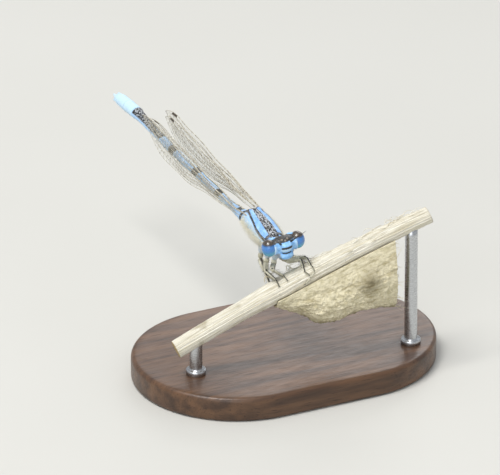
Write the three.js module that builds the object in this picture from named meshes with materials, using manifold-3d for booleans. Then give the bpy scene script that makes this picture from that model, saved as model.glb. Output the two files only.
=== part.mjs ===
// A male bluet damselfly at life size. It grips a cut length of dry stem, which two rods hold up on a flat base.
// Millimetres, +Z up. The animal faces -Y, its left side is +X and its abdomen points to +Y.
// The origin is the middle of the base's underside.
import * as THREE from "three";
import { mergeVertices } from "three/addons/utils/BufferGeometryUtils.js";
import Module from "manifold-3d";

const wasm = await Module();
wasm.setup();

const vec = (x, y, z) => new THREE.Vector3(x, y, z);
const SIDES = { left: 1, right: -1 };

// Fits
const GAP = 0.25; // clear space between a piece and what it grows from
const THIN = 0.5; // thickness of a wing's membrane
const VEIN_RISE = 0.05; // how far a vein stands out of each face of the membrane
const VEIN_WIDTH = 0.22;

// Where the animal is: its own origin is the front top edge of the pterothorax
const ANIMAL_PLACE = vec(-1.5, -1.5, 13.2);
const BODY_ROLL = THREE.MathUtils.degToRad(4); // its left side is up

// Head, from its own middle
const HEAD_PLACE = vec(0, -1.35, -0.17);
const HEAD_BACK = 0.42; // the flat back of the head
const EYE_RADII = vec(0.64, 0.7, 0.76);
const EYE_PLACE = vec(1.34, 0, 0.02); // mirrored for the right eye
const HEAD_TILT = THREE.MathUtils.degToRad(1.5); // beyond the roll of the body
const HEAD_LUMPS = [
  { name: "cranium", place: vec(0, 0.05, 0.06), radii: vec(1.32, 0.66, 0.74) },
  { name: "vertex", place: vec(0, -0.18, 0.36), radii: vec(0.85, 0.5, 0.38) },
  { name: "face", place: vec(0, -0.38, -0.3), radii: vec(0.84, 0.56, 0.52) },
  { name: "cheeks", place: vec(0, -0.15, -0.62), radii: vec(0.8, 0.5, 0.44) },
];
const OCELLUS_RADIUS = 0.13;
const OCELLI = [vec(0, -0.6, 0.42), vec(0.24, -0.48, 0.55), vec(-0.24, -0.48, 0.55)];
const LABRUM = { place: vec(0, -0.52, -0.92), radii: vec(0.6, 0.42, 0.38) };
const CHIN = { place: vec(0, 0.05, -0.92), radii: vec(0.5, 0.38, 0.26) };
const ANTENNA = {
  root: vec(0.48, -0.5, 0.3),
  way: vec(0.5, -0.62, 0.6),
  foot: 0.45, // length of the two thick joints at its root
  whip: 1.25,
  radius: 0.25,
  tip: 0.07,
};

// Stations of the thorax: y, height of the middle, half width, reach up, reach down
const THORAX_STATIONS = [
  [0.02, -0.85, 0.68, 0.68, 0.9],
  [0.3, -0.75, 0.9, 0.74, 1.2],
  [0.8, -0.62, 1.02, 0.81, 1.4],
  [1.6, -0.52, 1.1, 0.97, 1.5],
  [2.6, -0.4, 1.12, 1.09, 1.5],
  [3.5, -0.33, 1.1, 1.16, 1.42],
  [4.2, -0.33, 1.0, 1.2, 1.3],
  [4.8, -0.45, 0.85, 1.0, 1.1],
  [5.3, -0.68, 0.68, 0.72, 0.8],
  [5.6, -0.8, 0.5, 0.5, 0.52],
];
const PROTHORAX_STATIONS = [
  [-0.68, -0.75, 0.5, 0.5, 0.55],
  [-0.55, -0.78, 0.78, 0.7, 0.82],
  [-0.38, -0.82, 0.86, 0.74, 0.95],
  [-0.23, -0.86, 0.74, 0.66, 0.9],
];
const SQUARENESS = 2.3; // of the superellipse of each section
const WEDGE = 0.55; // share of its width that a section has lost at its lowest point
const COXA = { radius: 0.34, length: 0.5 };

// Abdomen: each length is a run of segments on its own straight axis
const RIM = 0.035; // the rim at the rear end of each segment stands out this far
const RIM_LENGTH = 0.16;
const ABDOMEN_LENGTHS = [
  {
    name: "abdomen_base",
    start: vec(0, 5.85, -0.78),
    pitch: -0.4,
    segments: [
      [0.75, 0.56, 0.5],
      [1.5, 0.48, 0.4],
      [3.25, 0.38, 0.36],
    ],
  },
  {
    name: "abdomen_middle",
    start: vec(0, 11.6, -0.78),
    pitch: 2.2,
    segments: [
      [4.15, 0.36, 0.37],
      [4.15, 0.37, 0.38],
    ],
  },
  {
    name: "abdomen_rear",
    start: vec(0, 20.15, -0.44),
    pitch: 4.4,
    segments: [
      [3.9, 0.39, 0.4],
      [3.1, 0.42, 0.5],
    ],
  },
  {
    name: "abdomen_tip",
    start: vec(0, 27.4, 0.1),
    pitch: -1.5,
    segments: [
      [1.85, 0.54, 0.55],
      [1.25, 0.55, 0.53],
      [0.6, 0.5, 0.44],
    ],
  },
];
const ABDOMEN_SIDES = 14;
const CERCI = { radius: 0.16, length: 0.5, apart: 0.2, high: 0.16, splay: 0.35 };

// Wings: s runs from root to tip, h is up from the leading edge's chord line
const WING_PITCH = THREE.MathUtils.degToRad(5.4);
const WINGS = {
  forewing: { length: 19.2, chord: 2.55, root: vec(1.06, 3.95, 0.05), plane: 1.43 },
  hindwing: { length: 17.2, chord: 2.75, root: vec(0.45, 5.15, 0.1), plane: 0.79 },
};
const STALK_SHARE = 0.13; // the narrow root takes this share of the length
const STALK_HEIGHT = 0.5;
const BROADEST = 0.72; // the wing has its full depth from this share of the length on
const EDGE_ARCH = 0.05; // rise of the leading edge at the middle of its length
const ROOT_RISE = { high: 0.4, share: 0.15 }; // the stalk stands higher than the rest of the leading edge
const TIP_DROP = 0.24; // share of the chord that the leading edge falls at the tip
// Each vein runs between two shares of the length and of the way from leading to trailing edge
const VEINS = [
  { name: "subcosta", from: [0.06, 0.35], to: [0.38, 0.06], bend: 1.4 },
  { name: "radius", from: [0.06, 0.45], to: [0.93, 0.17], bend: 0.55 },
  { name: "radial sector", from: [0.3, 0.3], to: [0.98, 0.45], bend: 1.0 },
  { name: "media", from: [0.14, 0.5], to: [0.93, 0.8], bend: 1.0 },
  { name: "cubitus", from: [0.14, 0.62], to: [0.72, 0.97], bend: 0.8 },
];
const PTEROSTIGMA = { from: 0.9, to: 0.94, deep: 0.16 };

// Legs, in the animal's unrolled frame: a knee, then the way round the stem as [place along it, degrees round it]
const LEG_SIDES = 6;
const LEG_RADIUS = { coxa: 0.3, femur: 0.27, tibia: 0.25, tarsus: 0.25, tip: 0.1 };
const LEGS = {
  foreleg: {
    hip: vec(0.5, -0.46, -1.95),
    left: { knee: vec(1.56, -1.59, -1.82), grip: [[2.1, 68], [1.98, 46], [2.2, 25]] },
    right: { knee: vec(-1.41, -2.12, -1.95), grip: [[0.25, 85], [0.3, 67], [0.35, 50]] },
  },
  midleg: {
    hip: vec(0.62, 0.75, -2.3),
    left: { knee: vec(2.19, -1.37, -1.89), grip: [[2.75, 62], [2.78, 44], [2.75, 26], [2.2, 9], [1.6, -8]] },
    right: { knee: vec(-1.5, -1.2, -2.5), grip: [[-0.45, 82], [-0.48, 63], [-0.5, 45]] },
  },
  hindleg: {
    hip: vec(0.6, 1.95, -2.35),
    left: { knee: vec(2.6, 1.5, -3.2), grip: [[2.6, 162], [2.6, 180], [2.6, 198]] },
    right: { knee: vec(-0.75, 0.55, -3.45), grip: [[-0.95, 160], [-0.98, 180], [-1.0, 200]] },
  },
};

// Stem: a slightly arched stalk, from the point below the animal's head
const STEM_MIDDLE = vec(0, -1.7, -4.02);
const STEM_WAY = vec(0.9108, -0.1281, 0.3926).normalize();
const STEM_REACH = { low: -10.5, high: 14 };
const STEM_ARCH = 0.0032; // fall of the axis per square millimetre of distance
const STEM_RADII = [
  [-10.5, 0.8],
  [-4, 0.84],
  [-1.5, 0.96],
  [0, 1.02],
  [2, 0.96],
  [6, 0.88],
  [14, 0.73],
];
const STEM_SIDES = 16;

// Dry leaf sheath that has come away from the stem: a curled sheet that hangs below it
const SHEATH = { from: -1, to: 10.4, top: 0.5, bulge: 1.5, curl: 0.7, thickness: 0.5 };
// How far the sheath hangs below the stem's axis, against the distance along the stem
const SHEATH_DROPS = [
  [-1, 1.3],
  [0.5, 2.4],
  [2, 3.7],
  [3.7, 5.0],
  [7.1, 5.6],
  [10.4, 6.8],
];

// Stand
const BASE = { width: 27, depth: 18, thickness: 2.2, edge: 0.4 };
const ROD = { radius: 0.55, sides: 20 };
const ROD_PLACES = { low: -8.6, high: 12.3 };

const COLOURS = {
  blue: 0x6fb4f2,
  paleBlue: 0x9fdcff,
  eye: 0x2f62ad,
  black: 0x2a2622,
  wing: 0xb9b5a2,
  leg: 0x8d8573,
  straw: 0xd9cba6,
  husk: 0xc4b48f,
  walnut: 0x4a3424,
  steel: 0xb8bcc0,
};

function material(color, roughness, metalness = 0) {
  return new THREE.MeshStandardMaterial({ color, roughness, metalness });
}
const MATERIALS = {
  blue: material(COLOURS.blue, 0.55),
  paleBlue: material(COLOURS.paleBlue, 0.5),
  eye: material(COLOURS.eye, 0.2),
  black: material(COLOURS.black, 0.5),
  wing: material(COLOURS.wing, 0.3),
  leg: material(COLOURS.leg, 0.5),
  straw: material(COLOURS.straw, 0.75),
  husk: material(COLOURS.husk, 0.9),
  walnut: material(COLOURS.walnut, 0.45),
  steel: material(COLOURS.steel, 0.3, 1),
};

// Solids: closed geometry in, closed geometry out

function bare(geometry) {
  geometry.deleteAttribute("normal");
  geometry.deleteAttribute("uv");
  return mergeVertices(geometry, 1e-5);
}

function solid(geometry) {
  const merged = bare(geometry.clone());
  return new wasm.Manifold(
    new wasm.Mesh({
      numProp: 3,
      vertProperties: new Float32Array(merged.attributes.position.array),
      triVerts: new Uint32Array(merged.index.array),
    }),
  );
}

function geometryOf(manifold) {
  const mesh = manifold.getMesh();
  const geometry = new THREE.BufferGeometry();
  geometry.setAttribute("position", new THREE.BufferAttribute(mesh.vertProperties, mesh.numProp));
  geometry.setIndex(new THREE.BufferAttribute(mesh.triVerts, 1));
  geometry.computeVertexNormals();
  return geometry;
}

// Joins the added geometries, cuts the others out of them and keeps the largest closed surface.
function fuse(added, cut = []) {
  let whole = solid(added[0]);
  for (const geometry of added.slice(1)) whole = whole.add(solid(geometry));
  for (const geometry of cut) whole = whole.subtract(solid(geometry));
  const bodies = whole.decompose();
  bodies.sort((a, b) => b.volume() - a.volume());
  return geometryOf(bodies[0]);
}

function ellipsoid(place, radii, round = 16, rows = 10) {
  const geometry = new THREE.SphereGeometry(1, round, rows);
  geometry.scale(radii.x, radii.y, radii.z);
  geometry.translate(place.x, place.y, place.z);
  return geometry;
}

const UP = vec(0, 1, 0);

// A tapered rod from one point to another.
function taper(from, to, radiusFrom, radiusTo, sides = 8) {
  const way = to.clone().sub(from);
  const geometry = new THREE.CylinderGeometry(radiusTo, radiusFrom, way.length(), sides);
  const turn = new THREE.Quaternion().setFromUnitVectors(UP, way.clone().normalize());
  geometry.applyQuaternion(turn);
  const middle = from.clone().add(to).multiplyScalar(0.5);
  geometry.translate(middle.x, middle.y, middle.z);
  return geometry;
}

// A closed solid with superellipse sections across the Y axis, grown all round by extra.
function loft(stations, sides, extra = 0) {
  const rows = stations.length - 1;
  const geometry = bare(new THREE.CylinderGeometry(1, 1, 1, sides, rows));
  const place = geometry.attributes.position;
  for (let i = 0; i < place.count; i++) {
    const row = Math.round((place.getY(i) + 0.5) * rows);
    const [y, middle, half, above, below] = stations[row];
    const across = place.getX(i);
    const upward = place.getZ(i);
    const size = Math.abs(across) ** SQUARENESS + Math.abs(upward) ** SQUARENESS;
    const reach = size > 0.01 ? size ** (-1 / SQUARENESS) : 0;
    const tall = upward > 0 ? above : below;
    const end = row === 0 ? -extra : row === rows ? extra : 0;
    const narrow = 1 - WEDGE * Math.max(0, -upward * reach);
    place.setXYZ(i, across * reach * (half + extra) * narrow, y + end, middle + upward * reach * (tall + extra));
  }
  return geometry;
}

// A sheet over a surface point(u, v), thickened along the way out(u, v), split alike on both faces.
function sheet(point, out, columns, rows, thickness) {
  const places = [];
  for (const side of [0.5, -0.5]) {
    for (let j = 0; j <= rows; j++) {
      for (let i = 0; i <= columns; i++) {
        const at = point(i / columns, j / rows);
        const away = out(i / columns, j / rows);
        at.addScaledVector(away, side * thickness);
        places.push(at.x, at.y, at.z);
      }
    }
  }
  const width = columns + 1;
  const layer = width * (rows + 1);
  const faces = [];
  const quad = (a, b, c, d) => faces.push(a, b, c, a, c, d);
  for (let j = 0; j < rows; j++) {
    for (let i = 0; i < columns; i++) {
      const a = j * width + i;
      const [b, c, d] = [a + 1, a + width + 1, a + width];
      quad(a, b, c, d);
      faces.push(a + layer, c + layer, b + layer, a + layer, d + layer, c + layer);
    }
  }
  for (let i = 0; i < columns; i++) {
    const far = rows * width + i;
    quad(i + 1, i, i + layer, i + 1 + layer);
    quad(far, far + 1, far + 1 + layer, far + layer);
  }
  for (let j = 0; j < rows; j++) {
    const near = j * width;
    const far = near + columns;
    quad(near, near + width, near + width + layer, near + layer);
    quad(far + width, far, far + layer, far + width + layer);
  }
  const geometry = new THREE.BufferGeometry();
  geometry.setAttribute("position", new THREE.BufferAttribute(new Float32Array(places), 3));
  geometry.setIndex(faces);
  return geometry;
}

function namedMesh(name, geometry, finish) {
  const mesh = new THREE.Mesh(geometry, finish);
  mesh.name = name;
  return mesh;
}

const mirrored = (point, side) => vec(point.x * side, point.y, point.z);

// Head with its ocelli, face and chin, and sockets that clear the eyes
function headMesh() {
  const lumps = HEAD_LUMPS.map(({ place, radii }) => ellipsoid(place, radii, 16, 10));
  lumps.push(ellipsoid(CHIN.place, CHIN.radii, 12, 8));
  for (const place of OCELLI) {
    lumps.push(ellipsoid(place, vec(OCELLUS_RADIUS, OCELLUS_RADIUS, OCELLUS_RADIUS), 8, 6));
  }
  const room = EYE_RADII.clone().addScalar(GAP);
  const cuts = Object.values(SIDES).map((side) => ellipsoid(mirrored(EYE_PLACE, side), room));
  const lip = LABRUM.radii.clone().addScalar(GAP);
  cuts.push(ellipsoid(LABRUM.place, lip));
  const behind = new THREE.BoxGeometry(4, 1, 4);
  behind.translate(0, HEAD_BACK + 0.5, 0);
  cuts.push(behind);
  return namedMesh("head", fuse(lumps, cuts), MATERIALS.blue);
}

function eyeMesh(name, side) {
  const mesh = namedMesh(`eye_${name}`, ellipsoid(vec(0, 0, 0), EYE_RADII, 18, 12), MATERIALS.eye);
  mesh.position.copy(mirrored(EYE_PLACE, side));
  return mesh;
}

function labrumMesh() {
  const lip = ellipsoid(vec(0, 0, 0), LABRUM.radii, 16, 10);
  const mesh = namedMesh("labrum", lip, MATERIALS.paleBlue);
  mesh.position.copy(LABRUM.place);
  return mesh;
}

function antennaMesh(name, side) {
  const way = mirrored(ANTENNA.way, side).normalize();
  const start = mirrored(ANTENNA.root, side).addScaledVector(way, GAP + 0.1);
  const bend = start.clone().addScaledVector(way, ANTENNA.foot);
  const tip = bend.clone().addScaledVector(way, ANTENNA.whip).add(vec(0, -0.1, 0.05));
  const pieces = [
    taper(start, bend, ANTENNA.radius, ANTENNA.radius * 0.9),
    taper(bend.clone().addScaledVector(way, -0.1), tip, ANTENNA.radius * 0.8, ANTENNA.tip),
  ];
  return namedMesh(`antenna_${name}`, fuse(pieces), MATERIALS.black);
}

// Where a hip stands on the rolled body, in the animal's unrolled frame
function hipPlace(leg, side) {
  return mirrored(leg.hip, side).applyAxisAngle(UP, -BODY_ROLL);
}

function coxaStub(leg, side) {
  const end = mirrored(leg.hip, side);
  const start = end.clone().add(vec(-side * 0.1, 0, COXA.length + 0.2));
  return taper(start, end, COXA.radius, COXA.radius * 0.9, 10);
}

function prothoraxMesh() {
  const pieces = [loft(PROTHORAX_STATIONS, 18)];
  for (const side of Object.values(SIDES)) pieces.push(coxaStub(LEGS.foreleg, side));
  return namedMesh("prothorax", fuse(pieces), MATERIALS.black);
}

function thoraxMesh() {
  const pieces = [loft(THORAX_STATIONS, 24)];
  for (const side of Object.values(SIDES)) {
    pieces.push(coxaStub(LEGS.midleg, side), coxaStub(LEGS.hindleg, side));
  }
  return namedMesh("thorax", fuse(pieces), MATERIALS.blue);
}

// Profile of one length of the abdomen: [radius, distance along it], closed on the axis at both ends
function abdomenProfile(segments) {
  const profile = [[0, 0]];
  let along = 0;
  for (const [length, front, rear] of segments) {
    const waist = (front + rear) / 2 - RIM / 2;
    profile.push([front - RIM, along], [front, along + RIM_LENGTH]);
    profile.push([waist, along + length / 2], [rear, along + length - RIM_LENGTH]);
    profile.push([rear + RIM, along + length - RIM_LENGTH / 2]);
    along += length;
    profile.push([rear - RIM, along]);
  }
  profile.push([0, along]);
  return profile.map(([radius, y]) => new THREE.Vector2(radius, y));
}

function abdomenMesh({ name, start, pitch, segments }) {
  const pieces = [new THREE.LatheGeometry(abdomenProfile(segments), ABDOMEN_SIDES)];
  if (name === "abdomen_tip") {
    const end = segments.reduce((sum, [length]) => sum + length, 0);
    for (const side of Object.values(SIDES)) {
      for (const height of [CERCI.high, -CERCI.high]) {
        const root = vec(side * CERCI.apart, end - 0.2, height);
        const tip = vec(side * (CERCI.apart + CERCI.splay * 0.3), end + CERCI.length, height * 1.4);
        pieces.push(taper(root, tip, CERCI.radius, CERCI.radius * 0.4, 7));
      }
    }
  }
  const finish = name === "abdomen_tip" ? MATERIALS.paleBlue : MATERIALS.blue;
  const mesh = namedMesh(name, fuse(pieces), finish);
  mesh.position.copy(start);
  mesh.rotation.x = THREE.MathUtils.degToRad(pitch);
  return mesh;
}

// Height of the leading edge at a share of the wing's length, from its chord line
function leadingEdge(share, wing) {
  const roundOff = share > 0.86 ? ((share - 0.86) / 0.14) ** 2.4 : 0;
  const rise = ROOT_RISE.high * (1 - THREE.MathUtils.smoothstep(share, 0, ROOT_RISE.share));
  return EDGE_ARCH * Math.sin(Math.PI * share) + rise - roundOff * wing.chord * TIP_DROP;
}

// Height of the trailing edge, below the leading edge by the local depth of the wing
function trailingEdge(share, wing) {
  const spread = THREE.MathUtils.smoothstep(share, STALK_SHARE * 0.6, BROADEST);
  const depth = STALK_HEIGHT + (wing.chord - STALK_HEIGHT) * spread;
  const roundOff = share > BROADEST ? ((share - BROADEST) / (1 - BROADEST)) ** 2.6 : 0;
  return leadingEdge(Math.min(share, 0.86), wing) - depth + roundOff * (depth - wing.chord * TIP_DROP);
}

function wingPoint(share, deep, wing) {
  const top = leadingEdge(share, wing);
  const bottom = trailingEdge(share, wing);
  return new THREE.Vector2(share * wing.length, top + (bottom - top) * deep);
}

function wingShape(wing) {
  const steps = 20;
  const points = [];
  for (let i = 0; i <= steps; i++) points.push(wingPoint(i / steps, 0, wing));
  for (let i = steps - 1; i >= 0; i--) points.push(wingPoint(i / steps, 1, wing));
  return new THREE.Shape(points);
}

function veinShape({ from, to, bend }, wing) {
  const steps = 9;
  const middle = [];
  for (let i = 0; i <= steps; i++) {
    const share = THREE.MathUtils.lerp(from[0], to[0], i / steps);
    const deep = THREE.MathUtils.lerp(from[1], to[1], (i / steps) ** bend);
    middle.push(wingPoint(share, deep, wing));
  }
  const edge = (i, sign) => {
    const ahead = middle[Math.min(i + 1, steps)];
    const behind = middle[Math.max(i - 1, 0)];
    const way = ahead.clone().sub(behind).normalize();
    const half = (VEIN_WIDTH / 2) * sign;
    return new THREE.Vector2(middle[i].x - way.y * half, middle[i].y + way.x * half);
  };
  const points = middle.map((_, i) => edge(i, 1));
  return new THREE.Shape(points.concat(middle.map((_, i) => edge(i, -1)).reverse()));
}

function stigmaShape(wing) {
  const corners = [
    [PTEROSTIGMA.from, 0.01],
    [PTEROSTIGMA.to, 0.01],
    [PTEROSTIGMA.to, PTEROSTIGMA.deep],
    [PTEROSTIGMA.from, PTEROSTIGMA.deep],
  ];
  return new THREE.Shape(corners.map(([share, deep]) => wingPoint(share, deep, wing)));
}

function plate(shape, thickness) {
  const geometry = new THREE.ExtrudeGeometry(shape, { depth: thickness, bevelEnabled: false });
  geometry.translate(0, 0, -thickness / 2);
  return geometry;
}

// Turns a flat wing drawn in X and Y into one that stands in the plane x = plane, with a stalk bent to its root.
function wingMesh(kind, name, side) {
  const wing = WINGS[kind];
  const raised = THIN + 2 * VEIN_RISE;
  const pieces = [plate(wingShape(wing), THIN)];
  for (const vein of VEINS) pieces.push(plate(veinShape(vein, wing), raised));
  pieces.push(plate(stigmaShape(wing), raised));
  const whole = bare(fuse(pieces));
  const place = whole.attributes.position;
  const stalkEnd = STALK_SHARE * wing.length * 1.5;
  for (let i = 0; i < place.count; i++) {
    const along = place.getX(i);
    const high = place.getY(i);
    const across = place.getZ(i);
    const spread = THREE.MathUtils.smoothstep(along, 0, stalkEnd);
    const x = THREE.MathUtils.lerp(wing.root.x, wing.plane, spread);
    place.setXYZ(i, x + across, along, high);
  }
  whole.rotateX(WING_PITCH);
  whole.translate(0, wing.root.y, wing.root.z);
  if (side < 0) {
    whole.scale(-1, 1, 1);
    const index = whole.index.array;
    for (let i = 0; i < index.length; i += 3) [index[i], index[i + 1]] = [index[i + 1], index[i]];
  }
  return namedMesh(`${kind}_${name}`, fuse([whole], [loft(THORAX_STATIONS, 24, GAP)]), MATERIALS.wing);
}

// Stem

function stemAxis(along) {
  const at = STEM_MIDDLE.clone().addScaledVector(STEM_WAY, along);
  at.z -= STEM_ARCH * along * along;
  return at;
}

// Reads a value between the rows of a table of [place, value].
function between(table, place) {
  const next = table.findIndex(([at]) => at >= place);
  if (next < 0) return table[table.length - 1][1];
  if (next === 0) return table[0][1];
  const [[a, first], [b, second]] = [table[next - 1], table[next]];
  return THREE.MathUtils.lerp(first, second, (place - a) / (b - a));
}

const stemRadius = (along) => between(STEM_RADII, along);

// The stem's own cross directions: forward is to the front of the animal, level; upward is square to both.
const STEM_FRONT = vec(0, 0, 1).cross(STEM_WAY).multiplyScalar(-1).normalize();
const STEM_UP = STEM_FRONT.clone().cross(STEM_WAY).normalize();

// A direction square to the stem: 0 degrees is forward, 90 is up, 180 is back.
function stemOut(degrees) {
  const angle = THREE.MathUtils.degToRad(degrees);
  const out = STEM_FRONT.clone().multiplyScalar(Math.cos(angle));
  return out.addScaledVector(STEM_UP, Math.sin(angle));
}

function stemSurface(along, round, clear) {
  return stemAxis(along).addScaledVector(stemOut(round), stemRadius(along) + clear);
}

function stemSolid(extra = 0) {
  const rows = 18;
  const geometry = bare(new THREE.CylinderGeometry(1, 1, 1, STEM_SIDES, rows));
  const place = geometry.attributes.position;
  for (let i = 0; i < place.count; i++) {
    const share = place.getY(i) + 0.5;
    const along = THREE.MathUtils.lerp(STEM_REACH.low, STEM_REACH.high, share);
    const at = stemAxis(along);
    const radius = stemRadius(along) + extra;
    at.addScaledVector(STEM_FRONT, place.getX(i) * radius);
    at.addScaledVector(STEM_UP, place.getZ(i) * radius);
    place.setXYZ(i, at.x, at.y, at.z);
  }
  return geometry;
}

// Leg: coxa, femur, tibia and a tarsus that bends over the stem and tapers to its tip
function legMesh(kind, name, side) {
  const leg = LEGS[kind];
  const { knee, grip } = leg[name];
  const hip = hipPlace(leg, side).add(vec(0, 0, -GAP));
  const joint = hip.clone().add(vec(side * 0.12, 0, -0.3));
  const ball = (at, radius) => ellipsoid(at, vec(radius, radius, radius), LEG_SIDES, 4);
  const rod = (start, end, radiusStart, radiusEnd) => taper(start, end, radiusStart, radiusEnd, LEG_SIDES);
  const pieces = [
    rod(hip, joint, LEG_RADIUS.coxa, LEG_RADIUS.femur),
    ball(joint, LEG_RADIUS.femur),
    rod(joint, knee, LEG_RADIUS.femur, LEG_RADIUS.tibia),
    ball(knee, LEG_RADIUS.femur),
  ];
  let from = knee;
  let thick = LEG_RADIUS.tibia;
  grip.forEach(([along, round], i) => {
    const last = i === grip.length - 1;
    const radius = last ? LEG_RADIUS.tip : LEG_RADIUS.tarsus;
    const at = stemSurface(along, round, GAP + radius);
    pieces.push(rod(from, at, thick, radius));
    if (!last) pieces.push(ball(at, radius));
    from = at;
    thick = radius;
  });
  return namedMesh(`${kind}_${name}`, fuse(pieces, [stemSolid(GAP * 0.8)]), MATERIALS.leg);
}

// Sheath: starts on the front of the stem, bulges forward as it hangs and curls under at its free edge
function sheathPoint(u, v) {
  const along = THREE.MathUtils.lerp(SHEATH.from, SHEATH.to, u);
  const near = stemRadius(along) + GAP + SHEATH.thickness / 2;
  const drop = between(SHEATH_DROPS, along);
  const full = Math.min(1, drop / 5);
  const front = THREE.MathUtils.lerp(near, -SHEATH.curl, v) + SHEATH.bulge * full * Math.sin(Math.PI * v);
  const down = SHEATH.top + (drop - SHEATH.top) * Math.sin((Math.PI / 2) * Math.min(1, v * 1.15));
  return stemAxis(along).addScaledVector(STEM_FRONT, front).add(vec(0, 0, -down));
}

function sheathOut(u, v) {
  const step = 0.02;
  const alongU = sheathPoint(u + step, v).sub(sheathPoint(u - step, v));
  const alongV = sheathPoint(u, v + step).sub(sheathPoint(u, v - step));
  return alongU.cross(alongV).normalize();
}

function sheathMesh() {
  const body = sheet(sheathPoint, sheathOut, 12, 12, SHEATH.thickness);
  return namedMesh("perch_sheath", fuse([body], [stemSolid(GAP)]), MATERIALS.husk);
}

// Stand
function baseMesh() {
  const { width, depth, thickness, edge } = BASE;
  const radius = depth / 2 - edge;
  const reach = width / 2 - edge - radius;
  const outline = new THREE.Shape();
  outline.absarc(reach, 0, radius, -Math.PI / 2, Math.PI / 2);
  outline.absarc(-reach, 0, radius, Math.PI / 2, (3 * Math.PI) / 2);
  outline.closePath();
  const geometry = new THREE.ExtrudeGeometry(outline, {
    depth: thickness - 2 * edge,
    bevelThickness: edge,
    bevelSize: edge,
    bevelSegments: 1,
    curveSegments: 12,
  });
  geometry.translate(0, 0, edge);
  return namedMesh("stand_base", geometry, MATERIALS.walnut);
}

function rodMesh(name, along) {
  const top = stemAxis(along).add(ANIMAL_PLACE);
  const foot = BASE.thickness + GAP;
  const height = top.z - foot;
  const rod = new THREE.CylinderGeometry(ROD.radius, ROD.radius, height, ROD.sides);
  rod.rotateX(Math.PI / 2);
  rod.translate(top.x, top.y, foot + height / 2);
  const clear = stemSolid(GAP);
  clear.translate(ANIMAL_PLACE.x, ANIMAL_PLACE.y, ANIMAL_PLACE.z);
  return namedMesh(`stand_rod_${name}`, fuse([rod], [clear]), MATERIALS.steel);
}

// The whole

const model = new THREE.Group();
const animal = new THREE.Group();
animal.position.copy(ANIMAL_PLACE);
model.add(animal);

const body = new THREE.Group();
body.rotation.y = -BODY_ROLL;
animal.add(body);

const headGroup = new THREE.Group();
headGroup.position.copy(HEAD_PLACE);
headGroup.rotation.y = -HEAD_TILT;
body.add(headGroup);
headGroup.add(headMesh(), labrumMesh());

body.add(prothoraxMesh(), thoraxMesh());
for (const length of ABDOMEN_LENGTHS) body.add(abdomenMesh(length));
for (const [name, side] of Object.entries(SIDES)) {
  headGroup.add(eyeMesh(name, side), antennaMesh(name, side));
  for (const kind of Object.keys(WINGS)) body.add(wingMesh(kind, name, side));
  for (const kind of Object.keys(LEGS)) animal.add(legMesh(kind, name, side));
}
animal.add(namedMesh("perch_stem", stemSolid(), MATERIALS.straw), sheathMesh());

model.add(baseMesh());
for (const [name, along] of Object.entries(ROD_PLACES)) model.add(rodMesh(name, along));

export default model;
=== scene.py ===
"""A male bluet damselfly that grips a dry stem, on a plain display stand."""

import math

import bpy
import numpy as np
from mathutils import Matrix, Vector, noise


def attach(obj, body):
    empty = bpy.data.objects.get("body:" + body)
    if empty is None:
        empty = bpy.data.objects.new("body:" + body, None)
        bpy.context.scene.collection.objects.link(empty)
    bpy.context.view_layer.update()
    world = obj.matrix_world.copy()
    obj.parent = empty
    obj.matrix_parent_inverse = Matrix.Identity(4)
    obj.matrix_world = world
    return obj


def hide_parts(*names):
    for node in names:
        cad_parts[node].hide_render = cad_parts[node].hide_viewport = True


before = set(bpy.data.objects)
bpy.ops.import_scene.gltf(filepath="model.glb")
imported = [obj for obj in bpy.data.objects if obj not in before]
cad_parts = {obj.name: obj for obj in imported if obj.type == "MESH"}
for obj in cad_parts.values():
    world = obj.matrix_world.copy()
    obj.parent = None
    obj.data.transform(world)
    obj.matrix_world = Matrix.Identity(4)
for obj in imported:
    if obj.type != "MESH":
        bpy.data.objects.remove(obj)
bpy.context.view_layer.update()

MM = 0.001
rng = np.random.default_rng(20)

# The animal's place, as in the solids. Shapes are made in millimetres in these frames.
ANIMAL_PLACE = (-1.5, -1.5, 13.2)
BODY_ROLL = math.radians(4)
HEAD_PLACE = (0, -1.35, -0.17)
HEAD_TILT = math.radians(1.5)

PART = Matrix.Identity(4)
ANIMAL = Matrix.Translation(ANIMAL_PLACE)
BODY = ANIMAL @ Matrix.Rotation(-BODY_ROLL, 4, "Y")
HEAD = BODY @ Matrix.Translation(HEAD_PLACE) @ Matrix.Rotation(-HEAD_TILT, 4, "Y")


# Small tools for arrays


def smooth(low, high, x):
    t = np.clip((np.asarray(x, float) - low) / (high - low), 0, 1)
    return t * t * (3 - 2 * t)


def bell(x, middle, width):
    return np.exp(-(((x - middle) / width) ** 2))


def unit(v):
    v = np.asarray(v, float)
    return v / np.maximum(np.linalg.norm(v, axis=-1, keepdims=True), 1e-12)


def circle(count):
    """Angles once round, in radians."""
    return np.linspace(0, 2 * math.pi, count, endpoint=False)


def ball(rows, columns, margin):
    """Points on a ball of radius 1. Its rows run round the up axis and stop short of the poles by margin."""
    polar = np.linspace(margin, math.pi - margin, rows)[:, None]
    turn = circle(columns)[None, :]
    x, y = np.sin(polar) * np.cos(turn), np.sin(polar) * np.sin(turn)
    return np.stack([x, y, -np.cos(polar) + 0 * turn], -1)


def rounded(t, power, full):
    """Close to 1 for most of the way, and small where t reaches 1, as at the end of a rod."""
    return np.sqrt(np.clip(full - t**power, 0.02, 1))


def folded(front, back):
    """Rings that run along the front of a thin sheet and return along its back."""
    return np.concatenate([front, back[:, ::-1]], axis=1)


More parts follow.
